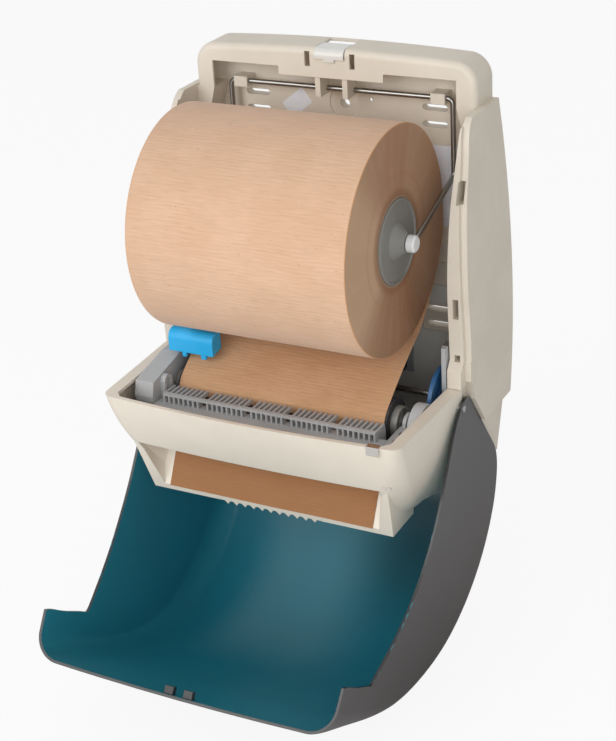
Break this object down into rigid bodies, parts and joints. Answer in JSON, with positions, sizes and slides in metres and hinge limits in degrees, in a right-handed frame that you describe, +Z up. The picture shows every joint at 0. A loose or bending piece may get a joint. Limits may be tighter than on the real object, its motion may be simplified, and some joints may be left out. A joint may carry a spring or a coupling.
{
  "type": "automatic roll towel dispenser",
  "caption": "Wall-mounted battery roll towel dispenser, cover hanging open, with a loaded paper roll, motor-driven feed roller, pinch roller, transfer lever and tear comb.",
  "frame": {"origin": "centre of the four wall-screw slots, on the plane of the wall that the case's back rests on", "axes": "+X to the right as a user facing the dispenser sees it, +Y into the wall, +Z up; the dispenser lies at negative Y"},
  "size_m": [0.3048, 0.366, 0.5299],
  "materials": {
    "case_cream": "satin moulded",
    "tray_cream": "smooth moulded",
    "mech_grey": "satin moulded",
    "pale_grey": "satin moulded",
    "smoke_teal": "smoked, polished",
    "black_plastic": "satin",
    "blue_plastic": "satin",
    "white_knob": "polished",
    "bush_plastic": "unfilled moulding",
    "gear_plastic": "satin",
    "lens": "clear red, polished",
    "light_lens": "translucent",
    "kraft_paper": "soft, unbleached",
    "core_board": "wound board",
    "rubber_black": "matt, fine ribs",
    "spring_wire": "drawn, plated",
    "shaft_steel": "ground",
    "zinc_steel": "zinc plated",
    "motor_can": "pressed can",
    "copper_strip": "polished strip",
    "cell_jacket": "printed sleeve, bare",
    "board_green": "solder-masked laminate",
    "parts_black": "moulded packages",
    "latch_white": "polished",
    "label": "coated, bare",
    "contact_plate": "nickel plated"
  },
  "bodies": {
    "housing": {"rear_case": "case_cream", "nose_tray": "tray_cream", "wire_bail": "spring_wire", "axle_stud_right": "white_knob", "axle_stud_left": "white_knob", "bail_clips": "mech_grey", "bearing_bush_right": "bush_plastic", "bearing_bush_left": "bush_plastic", "motor": "motor_can", "gearcase": "mech_grey", "gearcase_cover": "pale_grey", "idler_pin": "shaft_steel", "gearcase_screws": "zinc_steel", "bearing_block": "mech_grey", "roller_post": "mech_grey", "post_strap": "zinc_steel", "module_back": "mech_grey", "comb_guide": "mech_grey", "pinch_brackets": "mech_grey", "paper_web": "kraft_paper", "batteries": "cell_jacket", "battery_box": "mech_grey", "battery_lid": "mech_grey", "battery_contacts": "contact_plate", "control_board": "board_green", "board_parts": "parts_black", "sensor_window": "lens", "sensor_board": "board_green", "status_lights": "light_lens", "tear_comb": "tray_cream", "static_clip": "zinc_steel", "hinge_pins": "shaft_steel", "case_screws": "zinc_steel", "latch_spring": "spring_wire"},
    "cover": {"front_cover": "smoke_teal", "cover_catches": "black_plastic"},
    "roll": {"paper_roll": "kraft_paper", "paper_core": "core_board", "roll_hub_right": "pale_grey", "roll_hub_left": "pale_grey"},
    "drive": {"drive_roller": "rubber_black", "roller_core": "black_plastic", "drive_shaft": "shaft_steel", "roller_cap_right": "pale_grey", "roller_cap_left": "pale_grey", "drive_gear": "gear_plastic"},
    "pinch": {"pinch_shaft": "shaft_steel", "pinch_rollers": "rubber_black"},
    "idler": {"idler_gear": "gear_plastic"},
    "pinion": {"motor_pinion": "copper_strip"},
    "lever": {"transfer_lever": "blue_plastic", "transfer_rod": "shaft_steel", "transfer_disc": "blue_plastic"},
    "latch": {"latch_button": "latch_white"}
  },
  "joints": [
    {"name": "cover_hinge", "type": "hinge", "parent": "housing", "child": "cover", "pos_m": [0, -0.1095, -0.1283], "axis": [1, 0, 0], "range_deg": [-144.2, 0]},
    {"name": "roll_spin", "type": "hinge", "parent": "housing", "child": "roll", "pos_m": [0, -0.1265, 0.024], "axis": [1, 0, 0], "continuous": true},
    {"name": "drive_spin", "type": "hinge", "parent": "housing", "child": "drive", "pos_m": [0, -0.144, -0.132], "axis": [1, 0, 0], "continuous": true},
    {"name": "pinch_spin", "type": "hinge", "parent": "housing", "child": "pinch", "pos_m": [0, -0.17199, -0.13445], "axis": [1, 0, 0], "continuous": true},
    {"name": "idler_spin", "type": "hinge", "parent": "housing", "child": "idler", "pos_m": [0, -0.12807, -0.14995], "axis": [1, 0, 0], "continuous": true},
    {"name": "pinion_spin", "type": "hinge", "parent": "housing", "child": "pinion", "pos_m": [0, -0.11346, -0.1664], "axis": [1, 0, 0], "continuous": true},
    {"name": "transfer_tilt", "type": "hinge", "parent": "housing", "child": "lever", "pos_m": [0, -0.097, -0.126], "axis": [1, 0, 0], "range_deg": [0, 5], "stiffness_Nm_per_rad": 0.6, "springref_deg": -3.44},
    {"name": "latch_press", "type": "slide", "parent": "housing", "child": "latch", "axis": [0, 0, -1], "range_m": [0, 0.003], "stiffness_N_per_m": 400, "springref_m": -0.002, "deforming": ["latch_spring"]}
  ],
  "couplings": [
    {"joint": "drive_spin", "follows": "roll_spin", "ratio": -4.747},
    {"joint": "pinch_spin", "follows": "roll_spin", "ratio": 12.921},
    {"joint": "idler_spin", "follows": "roll_spin", "ratio": 11.528},
    {"joint": "pinion_spin", "follows": "roll_spin", "ratio": -30.742}
  ]
}
